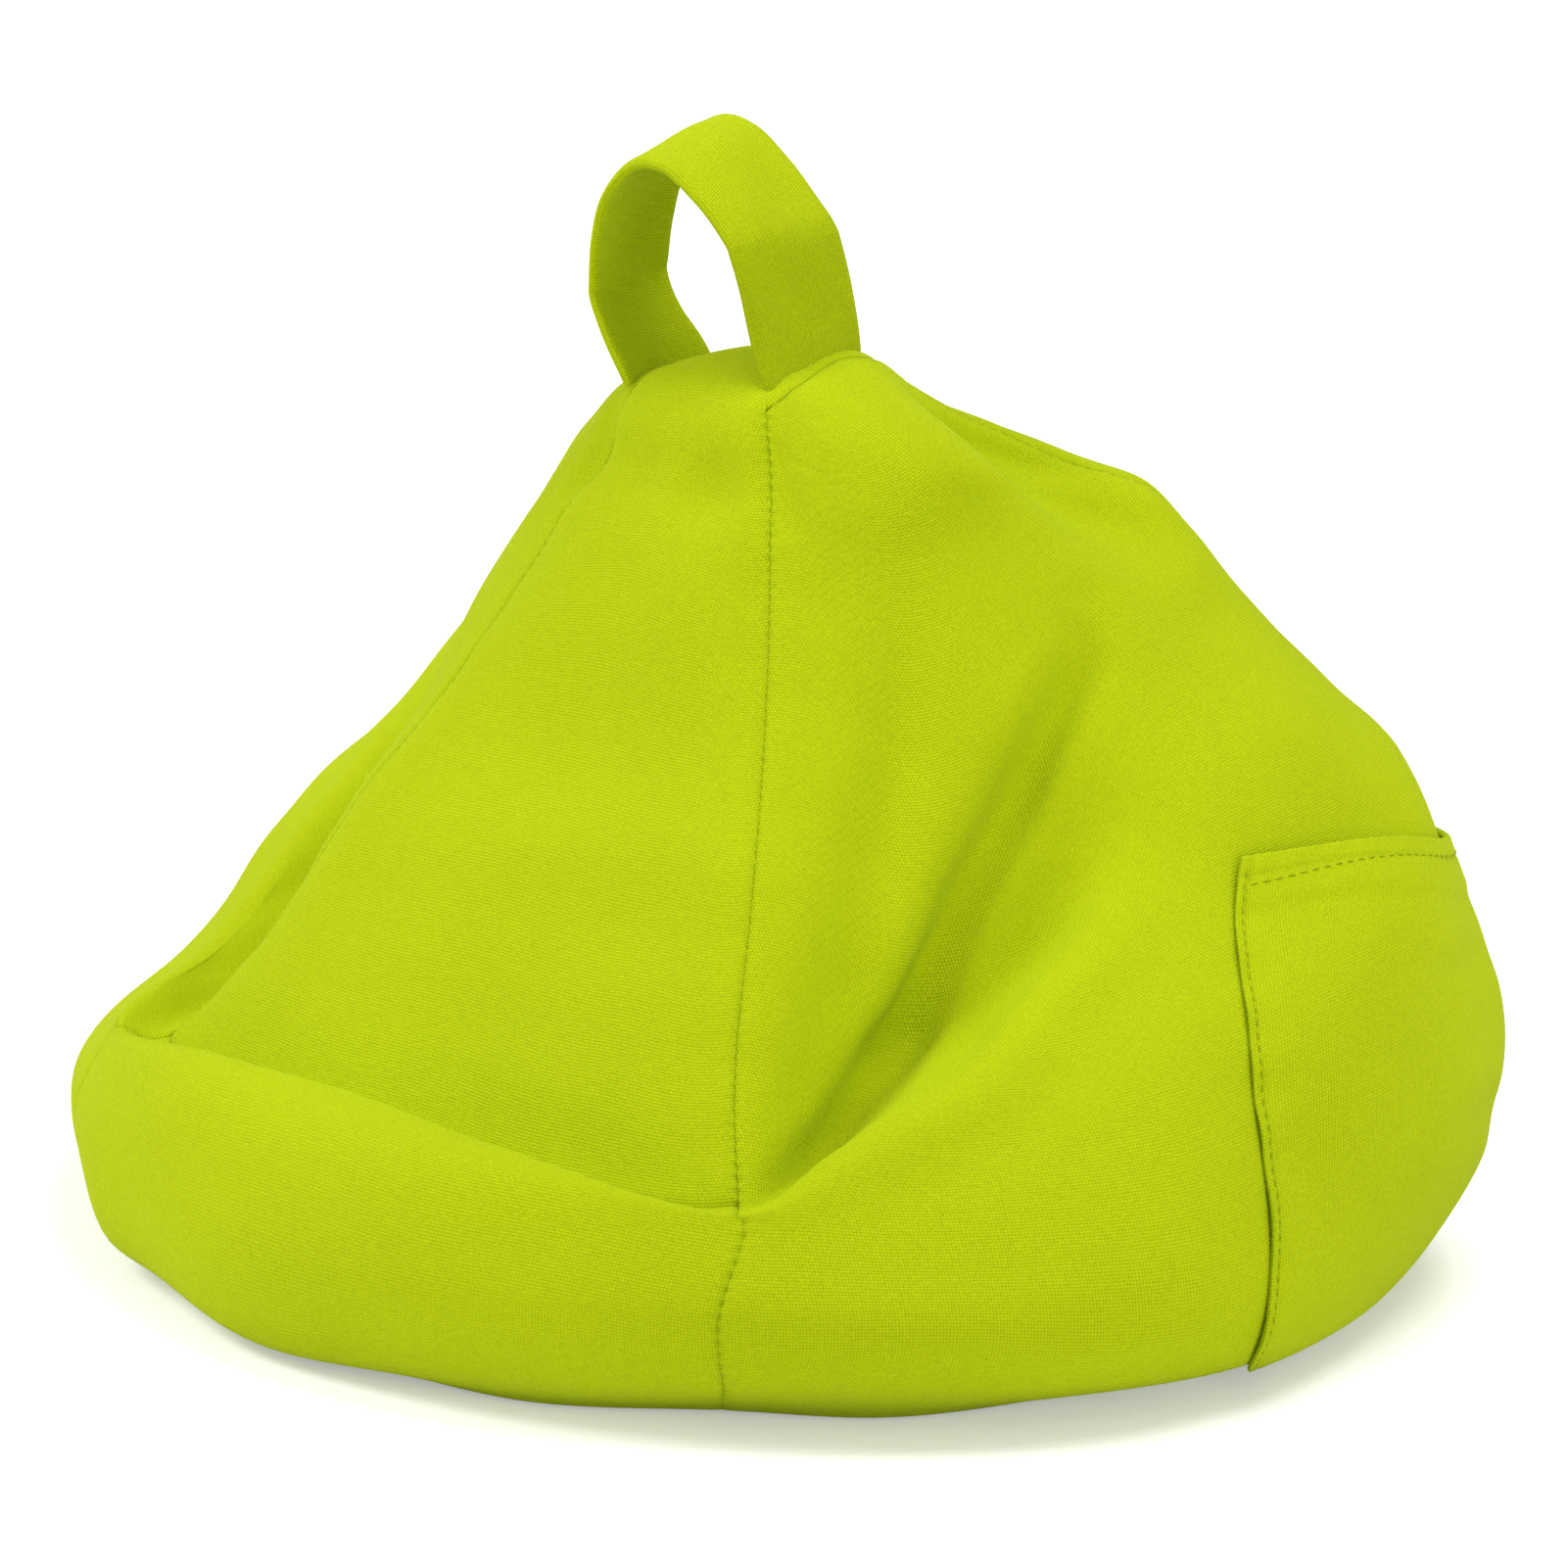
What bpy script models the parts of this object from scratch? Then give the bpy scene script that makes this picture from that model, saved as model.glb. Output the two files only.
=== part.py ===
"""Tablet cushion stand: a bead-filled fabric cushion with a lip, a trough and a sloping back.

The bag is one loft through a coarse cage. Its sewn panels are thin shells around the filling.
The front faces -Y, +Z is up, and the origin is on the floor under the middle of the bag.
Run with: blender --background --python part.py
"""
import math

import bmesh
import bpy
from mathutils import Vector

MM = 0.001

# Driving sizes of the bag
BODY_WIDTH = 300 * MM          # widest, low on the sides
BODY_DEPTH = 246 * MM          # front of the lip to the back
BODY_HEIGHT = 178 * MM         # floor to the top of the dome
FRONT_REACH = 118 * MM         # front of the lip from the origin
LIP_LENGTH = 172 * MM          # between the front corner seams, along the lip's crest
LIP_HEIGHT = 48 * MM           # crest of the lip above the floor
LIP_SETBACK = 19 * MM          # crest behind the front of the bag
LIP_BOW = 2 * MM               # front wall a quarter of the way along, behind its middle
LIP_SWEEP = 23 * MM            # front wall at its corner seams, behind its middle
CREST_SWEEP = 14 * MM          # crest at its ends, behind its middle
CREST_DROP = 5 * MM            # crest lower at its ends
TROUGH_DEPTH = 9 * MM          # crest of the lip down to the trough
TROUGH_SETBACK = 11 * MM       # trough behind the crest
TROUGH_SWEEP = 10 * MM         # trough at its ends, behind its middle
TROUGH_LIFT = 2 * MM           # trough higher at its ends
BACK_RUN = 15 * MM             # first stretch of the sloping back, front to rear
BACK_LIFT = 18 * MM            # and upward
CAP_WIDTH = 40 * MM            # between the seams that hold the handle
CAP_SHIFT = 2.5 * MM           # middle of the cap left of the bag's middle

# Fabric and seams
FABRIC = 1.2 * MM
CLEARANCE = 0.3 * MM           # between pieces that touch on the real cushion
SEAM_GAP = 0.8 * MM            # between two panels at their seam

# Handle strap
STRAP_THICKNESS = 2.4 * MM     # two layers of the cover's fabric
HANDLE_RISE = 49 * MM          # top of the loop above the cap
HANDLE_FRONT_DROP = 2 * MM     # front edge of the strap lower than its rear edge
HANDLE_LEAN = 12 * MM          # how far the loop has flopped to the left
HANDLE_SEAT = 2.0 * MM         # strap's end line above the seam that holds it

# Side pocket
POCKET_FRONT_TOP = 27 * MM     # front edge at the mouth, behind the origin
POCKET_FRONT_FOOT = -15 * MM   # front edge low down, behind the origin
POCKET_CURL = 24 * MM          # front edge's foot set back from there
POCKET_HEIGHT = 91 * MM        # mouth above the floor at the front edge
POCKET_REAR_DROP = 6 * MM      # mouth lower at the rear seam
POCKET_FOOT = 3 * MM           # lower edge above the floor
POCKET_MOUTH = 7 * MM          # slack of the mouth where it gapes most
HEM_THICKNESS = 2.4 * MM       # folded hem along the mouth

# Zip in the base
ZIP_LENGTH = 150 * MM
ZIP_PLACE = 38 * MM            # behind the origin
ZIP_SLOT = 9 * MM              # opening between the base fabric's two edges
ZIP_CHAIN = 5 * MM             # width of the closed teeth
CHAIN_HEIGHT = 1.4 * MM
TAPE_WIDTH = 11 * MM
TAPE_THICKNESS = 0.6 * MM
SLIDER_SIZE = (10 * MM, 7.5 * MM, 0.85 * MM)
PULL_SIZE = (18 * MM, 5 * MM, 0.7 * MM)

# Mesh steps between two cage stations, two cage rows and two points of the strap
STATION_STEPS = 3
ROW_STEPS = 2
STRAP_STEPS = 3
STRAP_BARS = 3                 # faces across the strap
POCKET_COLUMNS = 9
POCKET_ROWS = 14
HEM_ROWS = 2

LIME = (0.478, 0.631, 0.0120)
LIME_SHADE = (0.392, 0.521, 0.0110)
BEAD_WHITE = (0.80, 0.80, 0.78)
ZIP_METAL = (0.55, 0.55, 0.53)

# Seams as cage stations, on the right half; the left half mirrors them
LIP_CORNER = 2
BACK_CORNER = 7
STATIONS = 18
TROUGH_ROW = 5
HANDLE_STATIONS = (2.35, 6.65)  # front and rear edge of the strap
POCKET_SEAM = 0.04             # pocket's rear edge short of the back corner, in stations

# Shares of the pocket's height and width
POCKET_CURL_SHARE = 0.11       # over which the front edge's foot runs back
POCKET_GAPE_SHARE = 0.9        # of the mouth that stands off the bag, from its front corner


def bag_cage():
    """Rows of the right half from base edge to cap, each from front middle to back middle.

    Sides and back are percentages of the half width, the half depth and the height.
    The lip, the trough and the cap have their own sizes.
    """
    half = BODY_WIDTH / 2
    front = -FRONT_REACH
    middle = front + BODY_DEPTH / 2
    lip = LIP_LENGTH / 2
    crest = front + LIP_SETBACK
    trough = crest + TROUGH_SETBACK
    trough_z = LIP_HEIGHT - TROUGH_DEPTH

    def at(x, y, z):
        return (half * x / 100, middle + BODY_DEPTH / 2 * y / 100, BODY_HEIGHT * z / 100)

    def on_cap(share, y, z):
        return (CAP_WIDTH / 2 * share, *at(0, y, z)[1:])

    def wall(lean, z, spread, corner=1.0):
        """Front wall of the lip: middle, quarter and corner points at one height."""
        y = front + lean
        return [(0, y, z), (lip * 0.52, y + LIP_BOW, z), (lip * spread, y + LIP_SWEEP, z * corner)]

    return [
        # base seam
        wall(15 * MM, 0, 0.90)
        + [at(69, -54, 0), at(80, -26, 0), at(87, 4, 0), at(83, 38, 0), at(69, 69, 0),
           at(36, 84, 0), at(0, 87, 0)],
        wall(3 * MM, LIP_HEIGHT * 0.2, 1.03)
        + [at(80, -58, 6), at(94, -27, 6), at(98, 6, 6), at(92.5, 43, 7), at(76.5, 74.5, 8),
           at(40, 93, 8), at(0, 96, 8)],
        # widest
        wall(0, LIP_HEIGHT * 0.53, 1.05)
        + [at(82, -58, 16), at(96, -26, 16), at(100, 7, 18), at(96.5, 46, 24), at(85.5, 72, 28),
           at(44, 96, 28), at(0, 100, 28)],
        wall(8 * MM, LIP_HEIGHT * 0.9, 1.04, 0.92)
        + [at(71, -54, 26), at(85, -21, 32), at(92, 11, 37), at(90, 47, 43), at(76.5, 71, 46.5),
           at(39, 89, 47), at(0, 94, 47)],
        # crest of the lip, and the ridges that run on from it along the sides
        [(0, crest, LIP_HEIGHT), (lip * 0.5, crest, LIP_HEIGHT),
         (lip, crest + CREST_SWEEP, LIP_HEIGHT - CREST_DROP)]
        + [at(63, -50, 30), at(70, -20, 38.5), at(78.5, 12, 47), at(80, 46, 53), at(70.5, 71, 56.5),
           at(36, 86, 57), at(0, 90, 57)],
        # trough, with gutters running up beside the back
        [(0, trough, trough_z), (lip * 0.46, trough, trough_z),
         (lip * 0.93, trough + TROUGH_SWEEP, trough_z + TROUGH_LIFT)]
        + [at(53, -37, 29), at(59, -8, 43), at(68.5, 16, 57), at(69.5, 44, 63.5), at(61, 66, 64.5),
           at(32, 79, 67), at(0, 81, 68)],
        # sloping back
        [(0, trough + BACK_RUN, trough_z + BACK_LIFT),
         (lip * 0.43, trough + BACK_RUN, trough_z + BACK_LIFT),
         at(45, -57, 34), at(50, -30, 40), at(52.5, -2, 55), at(58.5, 19, 67), at(57.5, 41, 72),
         at(50.5, 58.5, 74), at(26.5, 69, 76.5), at(0, 72, 77)],
        [at(0, -42, 53), at(22, -42, 53), at(35, -39, 53), at(45, -18, 56), at(48, 1, 68),
         at(51, 22, 75), at(50, 40, 78), at(44.5, 53, 81), at(23, 60.5, 82.7), at(0, 63, 84)],
        [at(0, -24, 74), at(14, -24, 74), at(23, -20, 74), at(35, -7, 77), at(38, 7, 83),
         at(39, 20, 85.5), at(35.5, 32, 84), at(36.5, 44, 87), at(19, 50, 89.2), at(0, 52, 91)],
        # shoulder of the dome
        [at(0, -15, 86), at(9, -15, 86), at(17, -12, 86.5), at(26.5, -4, 88.5), at(31, 5, 91),
         at(32.5, 15, 91), at(24.5, 25, 88.5), at(22.5, 34, 92), at(12, 39, 93), at(0, 41, 94)],
        # seam around the cap, which holds the handle
        [on_cap(0, -6, 96), on_cap(0.55, -6, 96), on_cap(0.93, -4, 96), on_cap(1, 1, 96.8),
         on_cap(1, 6, 97), on_cap(1, 11, 97.1), on_cap(1, 16, 97.1), on_cap(0.93, 21, 96.9),
         on_cap(0.5, 25, 96.8), on_cap(0, 26, 96.8)],
    ]


def spline(p0, p1, p2, p3, t):
    """Catmull-Rom curve between p1 and p2."""
    return 0.5 * ((2 * p1) + (p2 - p0) * t + (2 * p0 - 5 * p1 + 4 * p2 - p3) * t * t
                  + (3 * p1 - p0 - 3 * p2 + p3) * t ** 3)


class Bag:
    """The bag's outer surface, by station round the bag and row up it."""

    def __init__(self):
        self.rows = []
        for half_row in bag_cage():
            right = [Vector(p) for p in half_row]
            left = [Vector((-p.x, p.y, p.z)) for p in right[-2:0:-1]]
            self.rows.append(right + left)
        self.cap_row = len(self.rows) - 1
        cap = self.rows[-1]
        for point in cap:
            point.x -= CAP_SHIFT
        self.apex = Vector((-CAP_SHIFT, cap[0].y * 0.45 + cap[9].y * 0.55, BODY_HEIGHT))

    def row_point(self, row, station):
        ring = self.rows[row]
        k = math.floor(station)
        near = [ring[(k + d) % STATIONS] for d in (-1, 0, 1, 2)]
        return spline(*near, station - k)

    def point(self, station, row):
        """Point at any station and row; the cap lies between the last row and the apex."""
        last = self.cap_row + 1
        k = min(math.floor(row), last - 1)

        def knot(i):
            if i < 0:
                return 2 * self.row_point(0, station) - self.row_point(1, station)
            if i < last:
                return self.row_point(i, station)
            if i == last:
                return self.apex.copy()
            return self.row_point(last - 1, station + STATIONS / 2)
        return spline(knot(k - 1), knot(k), knot(k + 1), knot(k + 2), row - k)

    def normal(self, station, row):
        step = 0.05
        along = self.point(station + step, row) - self.point(station - step, row)
        up = self.point(station, row + step) - self.point(station, row - step)
        return along.cross(up).normalized()


def panel_name(station, row, bag):
    """Name of the panel that the face at this station and row belongs to."""
    s = station % STATIONS
    if row > bag.cap_row:
        return "backrest_panel"
    if s < LIP_CORNER or s > STATIONS - LIP_CORNER:
        return "lip_panel" if row < TROUGH_ROW else "backrest_panel"
    if s < BACK_CORNER:
        return "side_panel_right"
    if s > STATIONS - BACK_CORNER:
        return "side_panel_left"
    return "back_panel"


def bag_faces(bag):
    """Points of the bag's skin and its faces, each with the name of its panel."""
    columns = STATIONS * STATION_STEPS
    levels = bag.cap_row * ROW_STEPS + 2
    points = [bag.point(c / STATION_STEPS, r / ROW_STEPS)
              for r in range(levels) for c in range(columns)]
    points.append(bag.apex)
    faces = []
    for r in range(levels):
        for c in range(columns):
            name = panel_name((c + 0.5) / STATION_STEPS, (r + 0.5) / ROW_STEPS, bag)
            here, beside = r * columns + c, r * columns + (c + 1) % columns
            if r + 1 < levels:
                faces.append((name, (here, beside, beside + columns, here + columns)))
            else:
                faces.append((name, (here, beside, len(points) - 1)))
    base = [("base_panel", tuple(range(columns))[::-1])]
    return points, faces + base


def material(name, color, roughness, metallic=0.0):
    made = bpy.data.materials.new(name)
    made.use_nodes = True
    shader = made.node_tree.nodes["Principled BSDF"]
    shader.inputs["Base Color"].default_value = (*color, 1.0)
    shader.inputs["Roughness"].default_value = roughness
    shader.inputs["Metallic"].default_value = metallic
    return made


def add_object(name, bm, collection, color, roughness=0.9, metallic=0.0):
    mesh = bpy.data.meshes.new(name)
    bm.to_mesh(mesh)
    bm.free()
    mesh.shade_smooth()
    mesh.materials.append(material(name, color, roughness, metallic))
    made = bpy.data.objects.new(name, mesh)
    collection.objects.link(made)
    return made


def add_solidify(obj, thickness, offset, group=""):
    solid = obj.modifiers.new("thickness", "SOLIDIFY")
    solid.thickness = thickness
    solid.offset = offset
    solid.use_even_offset = True
    solid.vertex_group = group


def add_cut(obj, cutter):
    cut = obj.modifiers.new(cutter.name, "BOOLEAN")
    cut.operation = "DIFFERENCE"
    cut.object = cutter


def mesh_from(points, faces):
    bm = bmesh.new()
    used = sorted({i for face in faces for i in face})
    verts = {i: bm.verts.new(points[i]) for i in used}
    for face in faces:
        bm.faces.new([verts[i] for i in face])
    bm.normal_update()
    return bm


def pull_back_edges(bm, distance):
    """Move a panel's open edges inward along its surface, to leave room for the seam."""
    inward = {}
    for edge in bm.edges:
        if not edge.is_boundary:
            continue
        face = edge.link_faces[0]
        across = face.normal.cross(edge.verts[1].co - edge.verts[0].co).normalized()
        if across.dot(face.calc_center_median() - edge.verts[0].co) < 0:
            across.negate()
        for vert in edge.verts:
            inward.setdefault(vert, []).append(across)
    for vert, (one, other) in inward.items():
        vert.co += (one + other) * distance / (1 + one.dot(other))


def box(name, size, center, collection, color=None, bevel=0.0):
    bm = bmesh.new()
    bmesh.ops.create_cube(bm, size=1.0)
    bmesh.ops.scale(bm, vec=size, verts=bm.verts)
    bmesh.ops.translate(bm, vec=center, verts=bm.verts)
    if color is None:
        made = add_object(name, bm, collection, ZIP_METAL)
        made.hide_render = True
        made.display_type = "WIRE"
        return made
    made = add_object(name, bm, collection, color, 0.45)
    if bevel:
        edge = made.modifiers.new("edges", "BEVEL")
        edge.width = bevel
        edge.segments = 2
    return made


def add_filling(bag, parts, cutters):
    """Bead filling, offset inward from the whole skin, with room for the zip in its underside."""
    points, faces = bag_faces(bag)
    bm = mesh_from(points, [face for _, face in faces])
    inset = FABRIC + CLEARANCE
    moved = [vert.co - vert.normal * inset * vert.calc_shell_factor() for vert in bm.verts]
    for vert, place in zip(bm.verts, moved):
        vert.co = place
    filling = add_object("bead_filling", bm, parts, BEAD_WHITE)
    depth = TAPE_THICKNESS + CHAIN_HEIGHT
    size = (ZIP_LENGTH + 2 * TAPE_WIDTH, ZIP_CHAIN + 2 * TAPE_WIDTH + 4 * CLEARANCE, 2 * depth)
    recess = box("zip_recess", size, (0, ZIP_PLACE, FABRIC + CLEARANCE), cutters)
    add_cut(filling, recess)


def add_panels(bag, parts, cutters):
    """The sewn cover: lip, back rest with cap, two sides, back and base."""
    points, faces = bag_faces(bag)
    for name in ("lip_panel", "backrest_panel", "side_panel_right", "side_panel_left",
                 "back_panel", "base_panel"):
        bm = mesh_from(points, [face for owner, face in faces if owner == name])
        under_the_sides = FABRIC if name == "base_panel" else 0.0
        pull_back_edges(bm, SEAM_GAP / 2 + under_the_sides)
        panel = add_object(name, bm, parts, LIME)
        add_solidify(panel, FABRIC, -1)
        if name == "base_panel":
            size = (ZIP_LENGTH, ZIP_SLOT, 4 * FABRIC)
            add_cut(panel, box("zip_slot", size, (0, ZIP_PLACE, 0), cutters))


def handle_edge(bag, station, bulge, rise):
    """One long edge of the strap, from its left foot on the cap's seam to its right foot."""
    foot = bag.point(station, bag.cap_row) + bag.normal(station, bag.cap_row) * HANDLE_SEAT
    half = foot.x + CAP_SHIFT
    left = Vector((foot.x - 2 * half, foot.y, foot.z))
    outline = [(-1.0, 0.0), (-1.18 - bulge, 0.22), (-1.16 - bulge, 0.46), (-0.93 - bulge, 0.70),
               (-0.52, 0.92), (-0.06, 1.0), (0.45, 0.94), (0.90, 0.78), (1.14, 0.54),
               (1.12, 0.27), (1.0, 0.0)]
    places = []
    for across, up in outline:
        middle = -CAP_SHIFT - HANDLE_LEAN * math.sin(math.pi / 2 * up)
        places.append(Vector((middle + across * half, foot.y, left.z + rise * up)))
    places[0], places[-1] = left, foot
    return places


def smooth_line(places, steps):
    ends = [2 * places[0] - places[1]] + places + [2 * places[-1] - places[-2]]
    line = []
    for k in range(1, len(ends) - 2):
        line += [spline(*ends[k - 1:k + 3], i / steps) for i in range(steps)]
    return line + [places[-1]]


def add_handle(bag, parts):
    """Flat strap whose feet are caught in the seams on both sides of the cap."""
    front_station, rear_station = HANDLE_STATIONS
    front = smooth_line(handle_edge(bag, front_station, 0.0, HANDLE_RISE - HANDLE_FRONT_DROP),
                        STRAP_STEPS)
    rear = smooth_line(handle_edge(bag, rear_station, 0.08, HANDLE_RISE), STRAP_STEPS)
    bm = bmesh.new()
    bars = []
    for near, far in zip(front, rear):
        bars.append([bm.verts.new(near.lerp(far, k / STRAP_BARS)) for k in range(STRAP_BARS + 1)])
    for low, high in zip(bars, bars[1:]):
        for k in range(STRAP_BARS):
            bm.faces.new((low[k], high[k], high[k + 1], low[k + 1]))
    bm.normal_update()
    strap = add_object("handle_strap", bm, parts, LIME)
    add_solidify(strap, STRAP_THICKNESS, 0)


def station_at_depth(bag, row, depth):
    """Station on the right side where this row reaches the given distance behind the origin."""
    low, high = 3.0, 6.5
    for _ in range(40):
        middle = (low + high) / 2
        if bag.point(middle, row).y < depth:
            low = middle
        else:
            high = middle
    return low


def row_at_height(bag, station, height):
    low, high = 0.0, float(bag.cap_row)
    for _ in range(40):
        middle = (low + high) / 2
        if bag.point(station, middle).z < height:
            low = middle
        else:
            high = middle
    return low


def pocket_corner(bag):
    """Station of the mouth's front corner, found by turns from its depth and its height."""
    station = (LIP_CORNER + BACK_CORNER) / 2
    for _ in range(6):
        row = row_at_height(bag, station, POCKET_HEIGHT)
        station = station_at_depth(bag, row, POCKET_FRONT_TOP)
    return station


def add_pocket(bag, parts):
    """Patch pocket on the rear half of the right side, open along its hemmed mouth."""
    bm = bmesh.new()
    grid = []
    corner = pocket_corner(bag)
    for j in range(POCKET_ROWS + 1):
        v = j / POCKET_ROWS
        line = []
        for i in range(POCKET_COLUMNS + 1):
            u = i / POCKET_COLUMNS
            below = corner + (BACK_CORNER - corner) * u
            top = row_at_height(bag, below, POCKET_HEIGHT - POCKET_REAR_DROP * u)
            foot = row_at_height(bag, below, POCKET_FOOT)
            row = foot + (top - foot) * v
            edge = POCKET_FRONT_FOOT + (POCKET_FRONT_TOP - POCKET_FRONT_FOOT) * v ** 2.5
            edge += POCKET_CURL * math.exp(-v / POCKET_CURL_SHARE)
            start = station_at_depth(bag, row, edge)
            station = start + (BACK_CORNER - POCKET_SEAM - start) * u
            gape = min(u / POCKET_GAPE_SHARE, 1.0) ** 0.75
            slack = POCKET_MOUTH * max(math.sin(math.pi * gape), 0.0) ** 1.2 * v ** 1.5
            place = bag.point(station, row) + bag.normal(station, row) * (CLEARANCE + slack)
            line.append(bm.verts.new(place))
        grid.append(line)
    for low, high in zip(grid, grid[1:]):
        for i in range(POCKET_COLUMNS):
            bm.faces.new((low[i], low[i + 1], high[i + 1], high[i]))
    bm.normal_update()
    pocket = add_object("side_pocket", bm, parts, LIME)
    hem = pocket.vertex_groups.new(name="hem")
    for j in range(POCKET_ROWS + 1):
        share = 1.0 if j > POCKET_ROWS - HEM_ROWS else FABRIC / HEM_THICKNESS
        first = j * (POCKET_COLUMNS + 1)
        hem.add(list(range(first, first + POCKET_COLUMNS + 1)), share, "REPLACE")
    add_solidify(pocket, HEM_THICKNESS, 1, "hem")


def add_zip(parts):
    """Hidden zip in the base, through which the beads are filled; its slider is at the closed end."""
    tape_z = FABRIC + CLEARANCE + TAPE_THICKNESS / 2
    beside = ZIP_CHAIN / 2 + CLEARANCE + TAPE_WIDTH / 2
    for name, side in (("zip_tape_front", -1), ("zip_tape_rear", 1)):
        size = (ZIP_LENGTH + TAPE_WIDTH, TAPE_WIDTH, TAPE_THICKNESS)
        box(name, size, (0, ZIP_PLACE + side * beside, tape_z), parts, LIME_SHADE)
    slider_length, slider_width, slider_height = SLIDER_SIZE
    chain_length = ZIP_LENGTH - 2 * CLEARANCE
    chain_z = FABRIC + CLEARANCE + CHAIN_HEIGHT / 2
    box("zip_chain", (chain_length, ZIP_CHAIN, CHAIN_HEIGHT), (0, ZIP_PLACE, chain_z), parts,
        LIME_SHADE, 0.3 * MM)
    slider_x = ZIP_LENGTH / 2 - slider_length / 2 - 2 * CLEARANCE
    slider_z = FABRIC - slider_height / 2
    box("zip_slider", SLIDER_SIZE, (slider_x, ZIP_PLACE, slider_z), parts, ZIP_METAL, 0.2 * MM)
    pull_x = slider_x - slider_length / 2 - CLEARANCE - PULL_SIZE[0] / 2
    box("zip_pull", PULL_SIZE, (pull_x, ZIP_PLACE, slider_z), parts, ZIP_METAL, 0.2 * MM)


def main():
    for obj in list(bpy.data.objects):
        bpy.data.objects.remove(obj, do_unlink=True)
    parts = bpy.data.collections.new("tablet_cushion_stand")
    cutters = bpy.data.collections.new("cutters")
    for collection in (parts, cutters):
        bpy.context.scene.collection.children.link(collection)
    bag = Bag()
    add_filling(bag, parts, cutters)
    add_panels(bag, parts, cutters)
    add_handle(bag, parts)
    add_pocket(bag, parts)
    add_zip(parts)


main()
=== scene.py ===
"""Looks of the bead-filled cushion stand: lime cover, carrying strap, side pocket and base zip.

The bag's skin repeats the part's cage. Its panels are dense patches of that skin with seams,
folds and puckers, in metres, in the part's own frame.
"""
import math

import bmesh
import bpy
import numpy as np
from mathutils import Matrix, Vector


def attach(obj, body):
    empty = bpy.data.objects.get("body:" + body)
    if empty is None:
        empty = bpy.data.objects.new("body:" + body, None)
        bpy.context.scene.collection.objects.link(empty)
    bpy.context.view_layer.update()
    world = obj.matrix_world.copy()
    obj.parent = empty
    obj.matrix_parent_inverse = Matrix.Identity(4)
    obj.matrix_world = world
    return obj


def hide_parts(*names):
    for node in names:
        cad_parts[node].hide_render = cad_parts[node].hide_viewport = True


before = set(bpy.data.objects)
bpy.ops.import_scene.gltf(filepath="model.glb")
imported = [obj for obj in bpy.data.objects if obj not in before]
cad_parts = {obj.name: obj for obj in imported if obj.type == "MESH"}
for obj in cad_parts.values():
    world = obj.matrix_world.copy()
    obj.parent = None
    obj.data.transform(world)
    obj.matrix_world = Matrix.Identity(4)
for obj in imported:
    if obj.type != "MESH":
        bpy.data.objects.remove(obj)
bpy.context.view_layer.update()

MM = 0.001
BODY = "root"

# Sizes that the part states
BODY_WIDTH = 300 * MM
BODY_DEPTH = 246 * MM
BODY_HEIGHT = 178 * MM
FRONT_REACH = 118 * MM
LIP_LENGTH = 172 * MM
LIP_HEIGHT = 48 * MM
LIP_SETBACK = 19 * MM
LIP_BOW = 2 * MM
LIP_SWEEP = 23 * MM
CREST_SWEEP = 14 * MM
CREST_DROP = 5 * MM
TROUGH_DEPTH = 9 * MM
TROUGH_SETBACK = 11 * MM
TROUGH_SWEEP = 10 * MM
TROUGH_LIFT = 2 * MM
BACK_RUN = 15 * MM
BACK_LIFT = 18 * MM
CAP_WIDTH = 40 * MM
CAP_SHIFT = 2.5 * MM
POCKET_FRONT_TOP = 27 * MM
POCKET_CURL_SHARE = 0.11
POCKET_HEIGHT = 91 * MM
POCKET_REAR_DROP = 6 * MM
POCKET_FOOT = 3 * MM
ZIP_PLACE = 38 * MM
ZIP_LENGTH = 150 * MM
ZIP_SLOT = 9 * MM

# Cage stations of the seams, and rows
STATIONS = 18
LIP_CORNER = 2
BACK_CORNER = 7
TROUGH_ROW = 5
CAP_ROW = 10

# Grid of the cover's panels, in stations and rows
STATION_STEP = 0.065
ROW_STEP = 0.022
ROW_FIRST = 0.008              # first step beside a seam

# Pocket's front edge and slack as the dressed cloth has them
POCKET_FRONT_FOOT = -17.5 * MM
POCKET_CURL = 26 * MM
POCKET_SLACK = 3.8 * MM        # of the mouth where it gapes most
POCKET_GAPE_SHARE = 0.75       # of the mouth that gapes, from its front corner
POCKET_SEEK = (3.0, 6.5)       # stations between which its front edge lies
POCKET_REAR = BACK_CORNER - 0.03       # station of its rear edge
POCKET_SPAN = (72 * MM, 104 * MM)      # width and height that set its grid's steps

# Strap
STRAP_WIDTH = 26 * MM
STRAP_FRONT_Y = 2.5 * MM
STRAP_REAR_Y = 28.5 * MM
STRAP_THICK = 2.4 * MM

# Fabric
THREAD = 0.62 * MM             # pitch of the weave
SHEET = 1.0 * MM               # one layer of the cover
SEAM_DIP = 0.5 * MM            # how far a seam sinks
SEAM_REACH = 1.1 * MM          # how far beside the seam it sinks
SEAM_SHADE = 0.45 * MM         # how far beside the seam the cloth is painted darker: painted shade in its groove, and stitch marks
SEAM_TURN = 5 * MM             # cloth that turns inward at a seam
DEEPEST = SEAM_TURN + 2 * MM   # most that the cover sinks below the smooth skin
STITCH = 2.6 * MM              # pitch of the stitches
STITCH_LENGTH = 1.8 * MM
STITCH_RADIUS = 0.17 * MM
LUMPS = 0.9 * MM               # unevenness of the bead filling
LUMP_FADE = 15 * MM            # height over which it grows from the floor up
BEAD_INSET = 5.5 * MM          # beads behind the cover
BEAD_FLOOR = 2.5 * MM          # lowest beads above the floor
HEM_LINE = 4.6 * MM            # hem's stitches below the pocket's mouth
HEM_DEPTH = 12 * MM            # hem's lower edge below the mouth
HEM_THICK = 1.8 * MM
EDGE_LINE = 1.7 * MM           # stitches behind the pocket's front edge
FLOOR_FADE = 9 * MM            # height over which the cover comes free of the floor
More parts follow.
